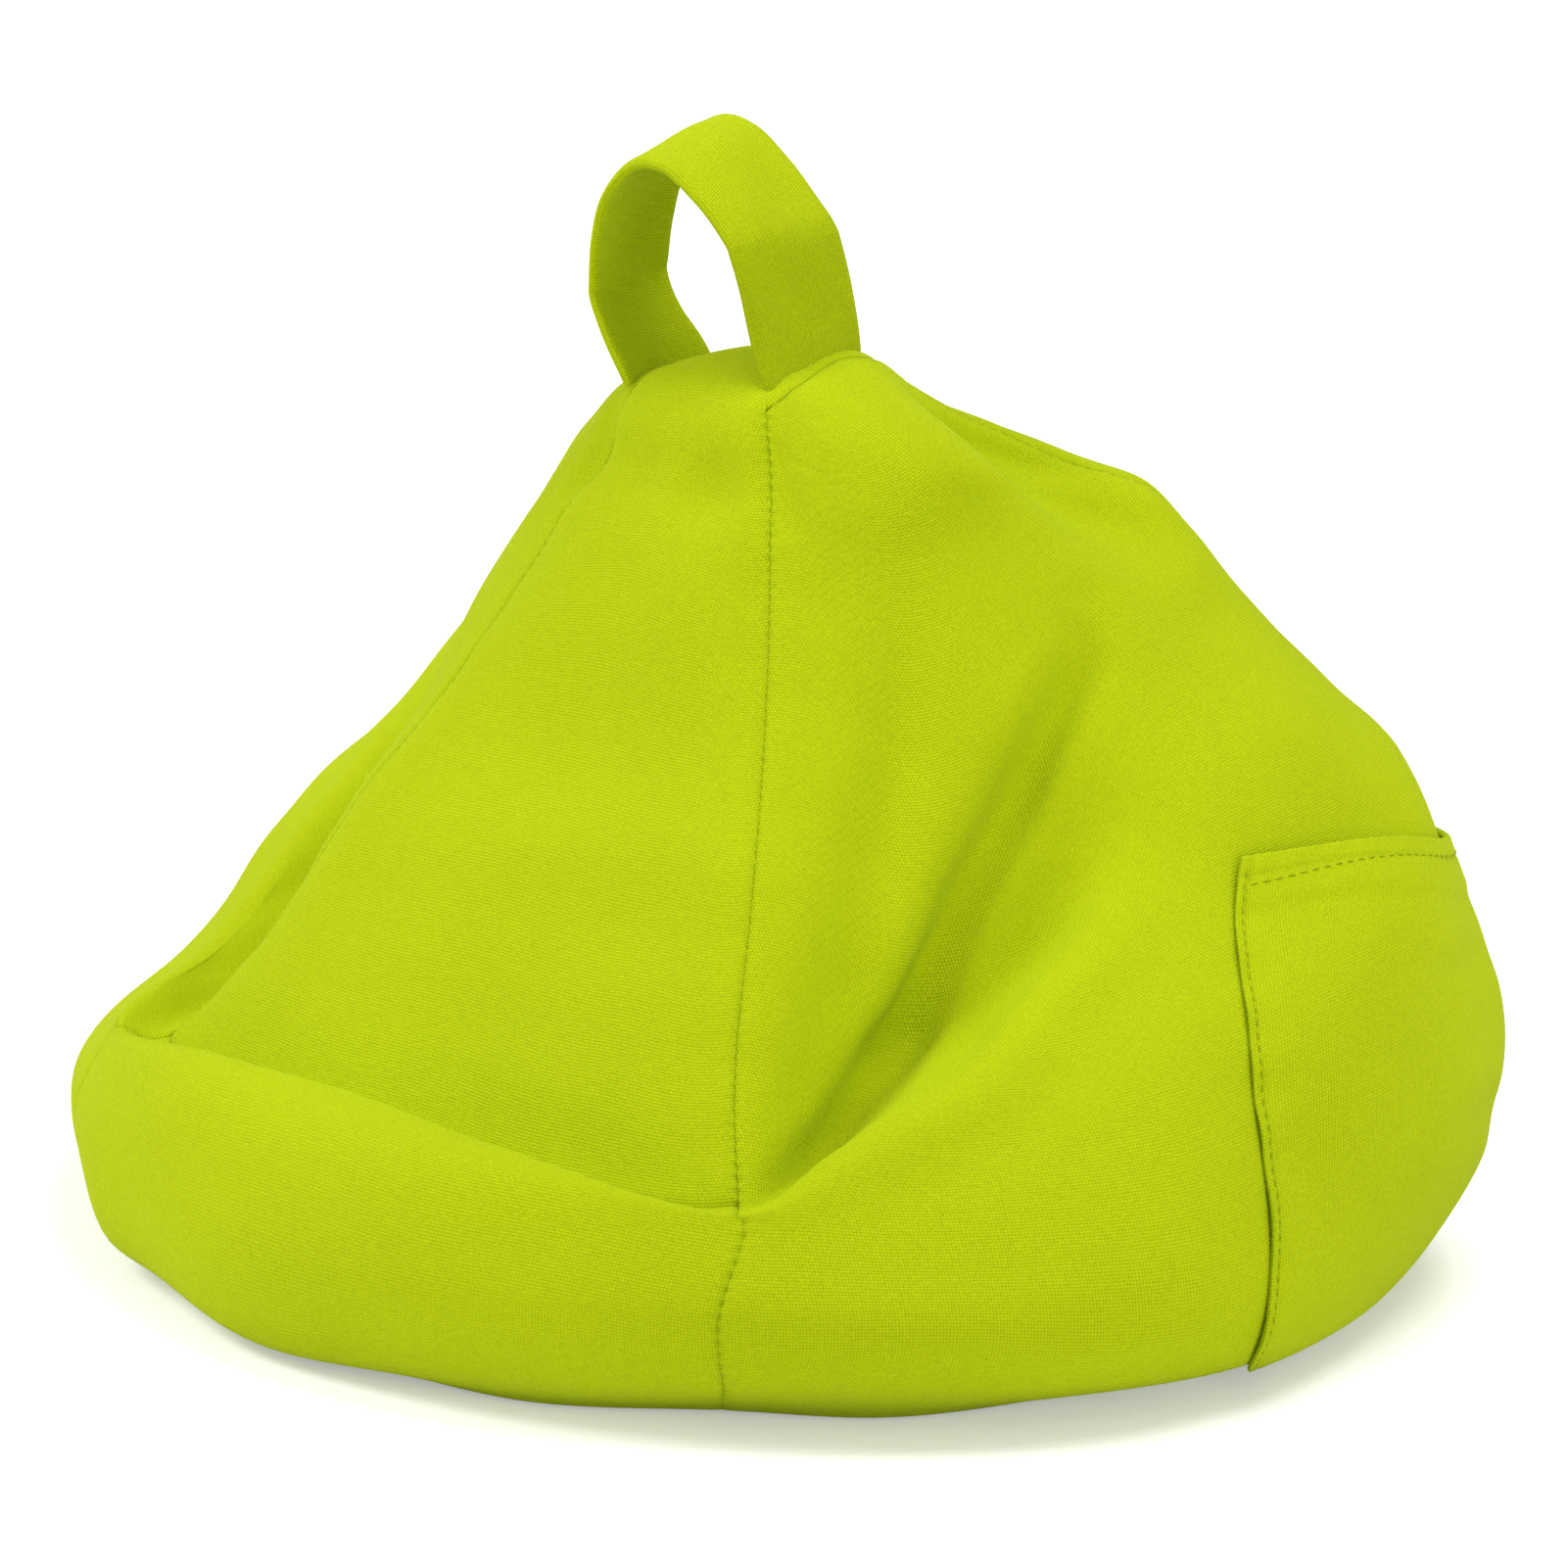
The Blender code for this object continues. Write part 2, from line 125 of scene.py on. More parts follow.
WALL_LIFT = 0.15 * MM          # lowest point of the walls above the floor
BASE_LIFT = 0.1 * MM           # flat bottom above the floor
BASE_INSET = 1.2 * MM          # bottom's edge inside the walls'

LIME = (0.478, 0.585, 0.0020)
LIME_DEEP = (0.30, 0.375, 0.0008)
THREAD_LIME = (0.33, 0.41, 0.0012)


def bag_cage():
    """Rows of the right half from base edge to cap, each from front middle to back middle."""
    half = BODY_WIDTH / 2
    front = -FRONT_REACH
    middle = front + BODY_DEPTH / 2
    lip = LIP_LENGTH / 2
    crest = front + LIP_SETBACK
    trough = crest + TROUGH_SETBACK
    trough_z = LIP_HEIGHT - TROUGH_DEPTH

    def at(x, y, z):
        return (half * x / 100, middle + BODY_DEPTH / 2 * y / 100, BODY_HEIGHT * z / 100)

    def on_cap(share, y, z):
        return (CAP_WIDTH / 2 * share, *at(0, y, z)[1:])

    def wall(lean, z, spread, corner=1.0):
        y = front + lean
        return [(0, y, z), (lip * 0.52, y + LIP_BOW, z), (lip * spread, y + LIP_SWEEP, z * corner)]

    return [
        # base seam
        wall(15 * MM, 0, 0.90)
        + [at(69, -54, 0), at(80, -26, 0), at(87, 4, 0), at(83, 38, 0), at(69, 69, 0),
           at(36, 84, 0), at(0, 87, 0)],
        wall(3 * MM, LIP_HEIGHT * 0.2, 1.03)
        + [at(80, -58, 6), at(94, -27, 6), at(98, 6, 6), at(92.5, 43, 7), at(76.5, 74.5, 8),
           at(40, 93, 8), at(0, 96, 8)],
        # widest
        wall(0, LIP_HEIGHT * 0.53, 1.05)
        + [at(82, -58, 16), at(96, -26, 16), at(100, 7, 18), at(96.5, 46, 24), at(85.5, 72, 28),
           at(44, 96, 28), at(0, 100, 28)],
        wall(8 * MM, LIP_HEIGHT * 0.9, 1.04, 0.92)
        + [at(71, -54, 26), at(85, -21, 32), at(92, 11, 37), at(90, 47, 43), at(76.5, 71, 46.5),
           at(39, 89, 47), at(0, 94, 47)],
        # crest of the lip, and the ridges that run on from it along the sides
        [(0, crest, LIP_HEIGHT), (lip * 0.5, crest, LIP_HEIGHT),
         (lip, crest + CREST_SWEEP, LIP_HEIGHT - CREST_DROP)]
        + [at(63, -50, 30), at(70, -20, 38.5), at(78.5, 12, 47), at(80, 46, 53), at(70.5, 71, 56.5),
           at(36, 86, 57), at(0, 90, 57)],
        # trough, with gutters running up beside the back
        [(0, trough, trough_z), (lip * 0.46, trough, trough_z),
         (lip * 0.93, trough + TROUGH_SWEEP, trough_z + TROUGH_LIFT)]
        + [at(53, -37, 29), at(59, -8, 43), at(68.5, 16, 57), at(69.5, 44, 63.5), at(61, 66, 64.5),
           at(32, 79, 67), at(0, 81, 68)],
        # sloping back
        [(0, trough + BACK_RUN, trough_z + BACK_LIFT),
         (lip * 0.43, trough + BACK_RUN, trough_z + BACK_LIFT),
         at(45, -57, 34), at(50, -30, 40), at(52.5, -2, 55), at(58.5, 19, 67), at(57.5, 41, 72),
         at(50.5, 58.5, 74), at(26.5, 69, 76.5), at(0, 72, 77)],
        [at(0, -42, 53), at(22, -42, 53), at(35, -39, 53), at(45, -18, 56), at(48, 1, 68),
         at(51, 22, 75), at(50, 40, 78), at(44.5, 53, 81), at(23, 60.5, 82.7), at(0, 63, 84)],
        [at(0, -24, 74), at(14, -24, 74), at(23, -20, 74), at(35, -7, 77), at(38, 7, 83),
         at(39, 20, 85.5), at(35.5, 32, 84), at(36.5, 44, 87), at(19, 50, 89.2), at(0, 52, 91)],
        # shoulder of the dome
        [at(0, -15, 86), at(9, -15, 86), at(17, -12, 86.5), at(26.5, -4, 88.5), at(31, 5, 91),
         at(32.5, 15, 91), at(24.5, 25, 88.5), at(22.5, 34, 92), at(12, 39, 93), at(0, 41, 94)],
        # seam around the cap, which holds the handle
        [on_cap(0, -6, 96), on_cap(0.55, -6, 96), on_cap(0.93, -4, 96), on_cap(1, 1, 96.8),
         on_cap(1, 6, 97), on_cap(1, 11, 97.1), on_cap(1, 16, 97.1), on_cap(0.93, 21, 96.9),
         on_cap(0.5, 25, 96.8), on_cap(0, 26, 96.8)],
    ]


def spline(p0, p1, p2, p3, t):
    """Catmull-Rom curve between p1 and p2; t has one axis fewer than the points."""
    t = np.asarray(t)[..., None]
    return 0.5 * ((2 * p1) + (p2 - p0) * t + (2 * p0 - 5 * p1 + 4 * p2 - p3) * t * t
                  + (3 * p1 - p0 - 3 * p2 + p3) * t ** 3)


class Skin:
    """The bag's surface by station round the bag and row up it, for whole arrays at once."""

    def __init__(self):
        rows = []
        for half_row in bag_cage():
            right = np.array(half_row, float)
            left = right[-2:0:-1] * (-1, 1, 1)
            rows.append(np.vstack([right, left]))
        rows = np.array(rows)
        rows[-1][:, 0] -= CAP_SHIFT
        top = rows[-1]
        depth = top[0, 1] * 0.45 + top[STATIONS // 2, 1] * 0.55
        apex = np.array((-CAP_SHIFT, depth, BODY_HEIGHT))
        below = 2 * rows[0] - rows[1]
        over = np.roll(top, -STATIONS // 2, axis=0)
        self.knots = np.concatenate([[below], rows, [np.tile(apex, (STATIONS, 1))], [over]])

    def plain(self, station, row):
        """Points of the smooth skin."""
        station, row = np.broadcast_arrays(np.asarray(station, float), np.asarray(row, float))
        k = np.clip(np.floor(row).astype(int), 0, CAP_ROW)
        j = np.floor(station).astype(int)
        rings = []
        for d in range(4):
            four = [self.knots[k + d, (j + e) % STATIONS] for e in (-1, 0, 1, 2)]
            rings.append(spline(*four, station - j))
        return spline(*rings, row - k)

    def normal(self, station, row, step=0.04):
        """Outward normals of the smooth skin."""
        along = self.plain(station + step, row) - self.plain(station - step, row)
        low = np.maximum(row - step, 0.0)
        high = np.minimum(row + step, CAP_ROW + 0.97)
        up = self.plain(station, high) - self.plain(station, low)
        across = np.cross(along, up)
        return across / np.maximum(np.linalg.norm(across, axis=-1, keepdims=True), 1e-12)


skin = Skin()


def swell(points, seed, wavelength, count=14):
    """Smooth seeded unevenness between about -1 and 1, from a sum of waves in space."""
    rng = np.random.default_rng(seed)
    total = np.zeros(points.shape[:-1])
    for _ in range(count):
        way = rng.normal(size=3)
        way *= 2 * math.pi / (wavelength * rng.uniform(0.7, 1.6)) / np.linalg.norm(way)
        total += np.sin(points @ way + rng.uniform(0, 2 * math.pi))
    return total / math.sqrt(count)


def along_path(points, path):
    """Distance of each point from a polyline, and how far along the polyline it is, 0 to 1."""
    best = np.full(points.shape[:-1], 1e9)
    where = np.zeros(points.shape[:-1])
    lengths = np.linalg.norm(np.diff(path, axis=0), axis=1)
    total, done = lengths.sum(), 0.0
    for a, b, length in zip(path, path[1:], lengths):
        t = np.clip((points - a) @ (b - a) / length ** 2, 0, 1)
        gap = np.linalg.norm(points - a - t[..., None] * (b - a), axis=-1)
        near = gap < best
        best = np.where(near, gap, best)
        where = np.where(near, (done + t * length) / total, where)
        done += length
    return best, where


# Soft folds on the sides: route as stations and rows, depth and half width in mm
FOLDS = [
    # the deep groove from the lip's corner up beside the back
    ([(2.75, 4.3), (3.25, 5.4), (3.57, 5.9), (3.98, 6.1), (4.3, 6.4), (4.7, 6.7), (4.9, 7.2)],
     4.6, 5.0),
    ([(3.35, 4.1), (3.69, 4.7), (4.09, 4.9), (4.35, 5.3)], 1.9, 6.5),
    ([(2.4, 5.3), (2.65, 6.3), (2.95, 7.3), (3.2, 8.2)], 1.8, 6.0),
    # the roll that runs on from the lip along the side
    ([(2.5, 3.95), (3.03, 3.6), (3.47, 3.66), (3.86, 3.9), (4.27, 4.2), (4.6, 4.9)], -2.2, 7.5),
    # under the ridge from the dome to the back corner
    ([(6.2, 9.4), (6.5, 9.0), (6.67, 8.5), (6.9, 8.0)], 1.8, 4.5),
    # beside the strap's foot, and on down the strip's seam
    ([(2.1, 10.0), (2.15, 9.6), (2.15, 9.1), (2.2, 8.6)], 2.2, 4.5),
    # the fold that starts at the lip's corner
    ([(2.25, 4.7), (2.7, 5.0), (3.2, 5.5), (3.6, 5.9)], 2.6, 4.5),
    # soft hollows of the belly
    ([(4.4, 3.3), (4.7, 2.6), (4.8, 1.8)], 1.0, 9.0),
    ([(2.3, 2.6), (2.9, 2.2), (3.5, 2.1)], 0.9, 9.0),
    # small creases of the cloth at the back corner
    ([(5.7, 2.75), (6.2, 2.6), (6.8, 2.4)], 0.9, 4.0),
    ([(5.6, 2.05), (6.1, 1.85), (6.6, 1.6)], 1.0, 5.0),
]


def folds(points, station):
    """Normal displacement of the soft folds, mirrored on the left with their own strengths."""
    total = np.zeros(points.shape[:-1])
    for k, (route, depth, width) in enumerate(FOLDS):
        for side in (1, -1):
            places = np.array(route, float)
            ring = places[:, 0] if side > 0 else STATIONS - places[:, 0]
            path = skin.plain(ring, places[:, 1])
            gap, where = along_path(points, path)
            x = gap / (width * MM)
            shape = -(1 - 0.55 * x * x) * np.exp(-x * x / 1.6)
            taper = np.sin(np.pi * np.clip(where, 0.02, 0.98)) ** 0.6
            strength = 1.0 if side > 0 else 0.58 + 0.2 * math.sin(3.0 * k)
            turn = station % STATIONS
            near = turn < STATIONS / 2 if side > 0 else turn > STATIONS / 2
            total += np.where(near, shape * taper * depth * MM * strength, 0)
    return total


# Where the settled filling stands out or has sunk: station, row, height and radius in mm
BULGES = [
    # base's edge
    (-0.1, 0.3, 8.5, 32), (-1.4, 0.9, 3.5, 16), (2.5, 0.5, -2.5, 36), (4.4, 0.3, 2.5, 34),
    (5.5, 0.3, 1.5, 24),
    # left side
    (-3.3, 4.0, -7.0, 30), (-3.9, 2.6, -5.0, 26),
    # corner of the ridge behind the dome, and the right side under it
    (7.1, 7.6, 2.5, 11), (6.2, 1.6, 1.5, 18),
    # dome: its right and left shoulders, its top, and dents under the strap
    (4.8, 9.4, 3.5, 20), (5.0, 9.9, 4.0, 13), (6.5, 10.0, 3.0, 12),
    (-3.6, 8.9, -2.5, 18), (-4.3, 9.7, 3.5, 12),
    (0.0, 10.6, 1.8, 16), (-0.7, 9.2, -2.6, 9), (0.9, 9.15, -2.8, 9), (-1.7, 9.3, -1.8, 7),
]


def bulges(points):
    """Normal displacement of the bulges and hollows."""
    total = np.zeros(points.shape[:-1])
    for ring, row, height, radius in BULGES:
        gap = np.linalg.norm(points - skin.plain(np.array(ring), np.array(row)), axis=-1)
        total += height * MM * np.exp(-(gap / (radius * MM)) ** 2)
    return total


def relief(points, station):
    """Everything that moves the cover off the smooth skin, apart from seams."""
    lumps = LUMPS * (0.7 * swell(points, 5, 0.075) + 0.35 * swell(points, 6, 0.030))
    lumps = lumps * np.clip(points[..., 2] / LUMP_FADE, 0, 1)
    return lumps + folds(points, station) + bulges(points)


def dressed(station, row, lift=0.0):
    """Points and normals of the uneven cover, at a height above it."""
    points, normals = skin.plain(station, row), skin.normal(station, row)
    height = relief(points, station) + lift
    return points + normals * height[..., None], normals


def lengths_along(points, axis):
    """Running length of a grid of points along one axis, starting at 0."""
    steps = np.linalg.norm(np.diff(points, axis=axis), axis=-1)
    pad = [(0, 0), (0, 0)]
    pad[axis] = (1, 0)
    return np.cumsum(np.pad(steps, pad), axis=axis)


def edge_steps(low, high, inner, first=0.006, growth=1.35):
    """Values from low to high, fine at both ends, with a doubled end value for the turned seam."""
    fine = [0.0]
    step = first
    while step < inner:
        fine.append(fine[-1] + step)
        step *= growth
    fine = np.array(fine)
    middle = np.linspace(low + fine[-1], high - fine[-1],
                         max(2, round((high - low - 2 * fine[-1]) / inner)) + 1)
    return np.concatenate([[low], low + fine[:-1], middle, (high - fine[:-1])[::-1], [high]])


def mesh_object(name, points, faces, uv=None, shade=None):
    """A smooth mesh with weave coordinates and, for each point, how dark it is painted: stitch marks
    and painted shade.
    """
    mesh = bpy.data.meshes.new(name)
    mesh.from_pydata(points.reshape(-1, 3).tolist(), [], faces)
    loops = np.zeros(len(mesh.loops), int)
    mesh.loops.foreach_get("vertex_index", loops)
    if uv is not None:
        layer = mesh.uv_layers.new(name="weave")
        layer.data.foreach_set("uv", uv.reshape(-1, 2)[loops].ravel())
    if shade is not None:
        mark = mesh.attributes.new("seam_marks_and_painted_shade", "FLOAT", "POINT")
        mark.data.foreach_set("value", shade.ravel())
    mesh.shade_smooth()
    made = bpy.data.objects.new(name, mesh)
    bpy.context.scene.collection.objects.link(made)
    return made


def grid_faces(rows, columns, closed=False):
    """Quads of a grid of points; a closed one runs round along its rows."""
    faces = []
    for i in range(rows - 1):
        for j in range(columns if closed else columns - 1):
            here, beside = i * columns + j, i * columns + (j + 1) % columns
            faces.append((here, beside, beside + columns, here + columns))
    return faces


def seam_profile(distance, run):
    """How far the cover sinks beside a seam, with a pull at every stitch and slow puckers."""
    dip = np.exp(-(distance / SEAM_REACH) ** 1.3)
    pull = np.cos(2 * math.pi * run / STITCH)
    slow = np.sin(run / (3.1 * MM) + 1.7 * np.sin(run / (17 * MM)))
    pucker = 0.22 * MM * slow * np.exp(-distance / (6 * MM)) * (1 - dip)
    return pucker - SEAM_DIP * dip * (1 + 0.3 * pull)


def seam_shade(distance, run):
    """How dark the cloth is painted beside a seam: painted shade in its groove, with stitch marks that
    are darkest at every stitch.
    """
    return np.exp(-distance / SEAM_SHADE) * (0.7 + 0.3 * np.cos(2 * math.pi * run / STITCH))


def settle(points, plain):
    """Keep the cover on the floor: what is low moves only sideways."""
    free = np.clip(plain[..., 2] / FLOOR_FADE, 0, 1)
    points[..., 2] = plain[..., 2] + (points[..., 2] - plain[..., 2]) * free
    points[..., 2] = np.maximum(points[..., 2], WALL_LIFT)
    return points


def panel_grid(stations, rows, open_top=False):
    """Points, weave coordinates and seam shade of a panel between its seams."""
    s, r = np.meshgrid(stations, rows)
    plain, normals = skin.plain(s, r), skin.normal(s, r)
    run_s, run_r = lengths_along(plain, 1), lengths_along(plain, 0)
    left, right = run_s, run_s[:, -1:] - run_s
    low, high = run_r, run_r[-1:] - run_r
    if open_top:
        high = high + 1.0
    height = relief(plain, s) + seam_profile(left, run_r) + seam_profile(right, run_r)
    for distance in (low, high):
        height -= SEAM_DIP * np.exp(-(distance / SEAM_REACH) ** 1.3)
    height = np.maximum(height, -DEEPEST)
    height[:, 0] = height[:, -1] = -SEAM_TURN
    height[0, :] = -SEAM_TURN
    if not open_top:
        height[-1, :] = -SEAM_TURN
    points = settle(plain + normals * height[..., None], plain)
    middle = run_s[:, run_s.shape[1] // 2][:, None]
    uv = np.stack([run_s - middle, run_r], -1)
    # painted shade in the seams' grooves, with stitch marks along the side seams; the top and bottom
    # seams get painted shade only
    shade = seam_shade(np.minimum(left, right), run_r)
    shade = shade + 0.7 * np.exp(-np.minimum(low, high) / SEAM_SHADE)
    return points, uv, shade


def cover_panel(name, node, stations, rows):
    """One panel of the cover between its seams."""
    points, uv, shade = panel_grid(edge_steps(*stations, STATION_STEP),
                                   edge_steps(*rows, ROW_STEP, first=ROW_FIRST))
    piece = mesh_object(name, points, grid_faces(*points.shape[:2]), uv, shade)
    finish_cloth(piece, [node])


def finish_cloth(piece, nodes):
    """Cover fabric and body of a piece that stands for the given nodes, whose parts it hides."""
    piece.data.materials.append(COVER)
    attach(piece, BODY)
    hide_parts(*nodes)


class Nodes:
    """Short way to build a material's node tree."""

    def __init__(self, name):
        self.material = bpy.data.materials.new(name)
        self.material.use_nodes = True
        self.tree = self.material.node_tree
        self.shader = self.tree.nodes["Principled BSDF"]

    def add(self, kind, inputs=(), **settings):
        node = self.tree.nodes.new(kind)
        for key, value in settings.items():
            setattr(node, key, value)
        for key, value in dict(inputs).items():
            self.put(node.inputs[key], value)
        return node

    def put(self, socket, value):
        if isinstance(value, bpy.types.NodeSocket):
            self.tree.links.new(value, socket)
        elif isinstance(value, bpy.types.Node):
            self.tree.links.new(value.outputs[0], socket)
        else:
            socket.default_value = value

    def math(self, operation, a, b=0.0, clamp=False):
        node = self.add("ShaderNodeMath", {0: a, 1: b}, operation=operation, use_clamp=clamp)
        return node.outputs[0]

    def mix(self, factor, a, b):
        node = self.add("ShaderNodeMix", data_type="RGBA")
        for socket, value in ((node.inputs[0], factor), (node.inputs[6], a), (node.inputs[7], b)):
            self.put(socket, value)
        return node.outputs[2]


def woven(name, base, deep):
    """Plain weave: warp over weft by turns, slubs, fine grain, slow fading, and seams and other places
    darkened by painted shade and stitch marks.
    """
    n = Nodes(name)
    uv = n.add("ShaderNodeUVMap", uv_map="weave")
    place = n.add("ShaderNodeNewGeometry").outputs["Position"]
    wander = n.add("ShaderNodeTexNoise", {"Vector": place, "Scale": 140.0, "Detail": 2.0})
    parts = n.add("ShaderNodeSeparateXYZ", {0: uv.outputs[0]})
    sway = n.math("MULTIPLY", n.math("SUBTRACT", wander.outputs[0], 0.5), 0.9)
    turns = math.pi / THREAD
    x = n.math("SINE", n.math("ADD", n.math("MULTIPLY", parts.outputs[0], turns), sway))
    y = n.math("SINE", n.math("SUBTRACT", n.math("MULTIPLY", parts.outputs[1], turns), sway))
    over = n.math("GREATER_THAN", n.math("MULTIPLY", x, y), 0.0)
    ax, ay = n.math("ABSOLUTE", x), n.math("ABSOLUTE", y)
    warp = n.math("MULTIPLY", n.math("POWER", ax, 0.9), n.math("POWER", ay, 0.35))
    weft = n.math("MULTIPLY", n.math("POWER", ax, 0.35), n.math("POWER", ay, 0.9))
    height = n.add("ShaderNodeMix", {0: over, 2: weft, 3: warp}, data_type="FLOAT").outputs[0]
    warp_way = n.add("ShaderNodeMapping", {0: uv.outputs[0], 3: (2600.0, 260.0, 1.0)})
    warp_slub = n.add("ShaderNodeTexNoise", {"Vector": warp_way.outputs[0], "Scale": 1.0})
    weft_way = n.add("ShaderNodeMapping", {0: uv.outputs[0], 3: (260.0, 2600.0, 1.0)})
    weft_slub = n.add("ShaderNodeTexNoise", {"Vector": weft_way.outputs[0], "Scale": 1.0})
    slubs = n.add("ShaderNodeMix", {0: over, 2: weft_slub.outputs[0], 3: warp_slub.outputs[0]},
                  data_type="FLOAT").outputs[0]
    slow = n.add("ShaderNodeTexNoise", {"Vector": place, "Scale": 14.0, "Detail": 3.0})
    tone = n.math("MULTIPLY", n.math("SUBTRACT", 1.0, height), 0.7)
    tone = n.math("ADD", tone, n.math("MULTIPLY", n.math("SUBTRACT", slubs, 0.5), 0.5))
    tone = n.math("ADD", tone, n.math("MULTIPLY", n.math("SUBTRACT", slow.outputs[0], 0.5), 0.5))
    grain = n.add("ShaderNodeTexNoise", {"Vector": place, "Scale": 1500.0, "Detail": 2.0})
    tone = n.math("ADD", tone, n.math("MULTIPLY", n.math("SUBTRACT", grain.outputs[0], 0.5), 0.7))
    # painted shade and stitch marks: seams, the strap's edges and shaded right leg, the pocket's edge
    # shadow and its stitch lines
    seam_marks_and_painted_shade = n.add("ShaderNodeAttribute", attribute_name="seam_marks_and_painted_shade").outputs["Fac"]
    tone = n.math("ADD", tone, n.math("MULTIPLY", seam_marks_and_painted_shade, 0.6), clamp=True)
    n.put(n.shader.inputs["Base Color"], n.mix(tone, (*base, 1), (*deep, 1)))
    rough = n.math("ADD", height, n.math("MULTIPLY", slubs, 0.5))
    rough = n.math("ADD", rough, n.math("MULTIPLY", grain.outputs[0], 1.2))
    bump = n.add("ShaderNodeBump", {"Strength": 0.6, "Distance": 0.00025, "Height": rough})
    n.put(n.shader.inputs["Normal"], bump.outputs[0])
    n.shader.inputs["Roughness"].default_value = 0.88
    n.shader.inputs["Specular IOR Level"].default_value = 0.08
    n.shader.inputs["Sheen Weight"].default_value = 0.10
    n.shader.inputs["Sheen Roughness"].default_value = 0.5
    n.shader.inputs["Sheen Tint"].default_value = (0.85, 0.95, 0.12, 1)
    return n.material


COVER = woven("cover_fabric", LIME, LIME_DEEP)


def build_covers():
    """Lip, sides and back."""
    lip, back = LIP_CORNER, BACK_CORNER
    cover_panel("lip_cover", "lip_panel", (-lip, lip), (0, TROUGH_ROW))
    cover_panel("right_side_cover", "side_panel_right", (lip, back), (0, CAP_ROW))
    cover_panel("left_side_cover", "side_panel_left", (STATIONS - back, STATIONS - lip), (0, CAP_ROW))
    cover_panel("back_cover", "back_panel", (back, STATIONS - back), (0, CAP_ROW))


def build_backrest():
    """The front strip and the cap over the top, in one piece of cloth."""
    corner = LIP_CORNER
    strip = edge_steps(-corner, corner, STATION_STEP)
    climb = edge_steps(TROUGH_ROW, CAP_ROW, ROW_STEP, first=ROW_FIRST)
    half = len(climb) // 2
    climb = np.concatenate([climb[:half], np.linspace(climb[half], CAP_ROW, half)])
    points, uv, shade = panel_grid(strip, climb, open_top=True)
    ring = np.concatenate([strip[1:-1], np.linspace(corner, STATIONS - corner, 140)[1:-1]])
    levels = np.concatenate([[0, 0, 0.02, 0.05, 0.09], np.linspace(0.14, 0.97, 24)]) + CAP_ROW
    ss, rr = np.meshgrid(ring, levels)
    cap, normals = skin.plain(ss, rr), skin.normal(ss, np.minimum(rr, CAP_ROW + 0.9))
    run = lengths_along(cap, 0)
    turn = np.abs((ss + STATIONS / 2) % STATIONS - STATIONS / 2)
    seamed = np.clip((turn - corner) / 0.15, 0, 1)
    height = relief(cap, ss) - seamed * SEAM_DIP * np.exp(-(run / SEAM_REACH) ** 1.3)
    height[0] = np.where(seamed[0] > 0, -SEAM_TURN, height[0])
    cap = cap + normals * height[..., None]
    front = len(strip) - 2
    cap[:2, :front] = points[-1, 1:-1]
    count, columns = points.shape[0] * points.shape[1], cap.shape[1]
    faces = grid_faces(*points.shape[:2])
    faces += [tuple(i + count for i in face) for face in grid_faces(*cap.shape[:2], closed=True)]
    tip = count + cap.shape[0] * columns
    last = tip - columns
    faces += [(last + j, last + (j + 1) % columns, tip) for j in range(columns)]
    apex = np.array([[*cap[-1].mean(axis=0)[:2], cap[-1][:, 2].max()]])
    shift = (0, uv[-1, 0, 1] - cap[0, front // 2, 1])
    every = np.concatenate([points.reshape(-1, 3), cap.reshape(-1, 3), apex])
    uvs = np.concatenate([uv.reshape(-1, 2), cap.reshape(-1, 3)[:, :2] + shift, apex[:, :2] + shift])
    # painted shade along the cap's seam
    cap_shade = 0.7 * np.exp(-run / SEAM_SHADE) * seamed
    piece = mesh_object("backrest_cover", every, faces, uvs,
                        np.concatenate([shade.ravel(), cap_shade.ravel(), [0.0]]))
    weld(piece)
    finish_cloth(piece, ["backrest_panel"])


def weld(piece):
    """Join points that lie on each other."""
    bm = bmesh.new()
    bm.from_mesh(piece.data)
    bmesh.ops.remove_doubles(bm, verts=bm.verts, dist=0.002 * MM)
    bm.to_mesh(piece.data)
    bm.free()


def build_base():
    """Flat bottom with the slot over the zip, just inside the walls' lower edges."""
    ring = np.linspace(0, STATIONS, 216, endpoint=False)
    edge = settle(dressed(ring, np.zeros_like(ring))[0], skin.plain(ring, np.zeros_like(ring)))
    middle = edge.mean(axis=0)
    inward = middle - edge
    edge = edge + inward * (BASE_INSET / np.linalg.norm(inward, axis=-1))[:, None]
    half = np.array((ZIP_LENGTH / 2, ZIP_SLOT / 2))
    mouth = np.array((0, ZIP_PLACE))
    away = edge[:, :2] - mouth
    slot = mouth + away * np.min(half / np.maximum(np.abs(away), 1e-9), axis=1)[:, None]
    profile = [(0, SEAM_TURN), (0, 0.9 * MM), (0.004, 0.4 * MM)]
    profile += [(share, BASE_LIFT) for share in (0.01, 0.2, 0.4, 0.6, 0.8, 0.93, 1.0)]
    profile += [(1.0, SHEET)]
    points = np.array([
        np.column_stack([edge[:, :2] * (1 - share) + slot * share, np.full(len(ring), z)])
        for share, z in profile])
    faces = grid_faces(*points.shape[:2], closed=True)
    piece = mesh_object("base_cover", points, faces, points[..., :2], np.zeros(points.shape[:2]))
    finish_cloth(piece, ["base_panel"])


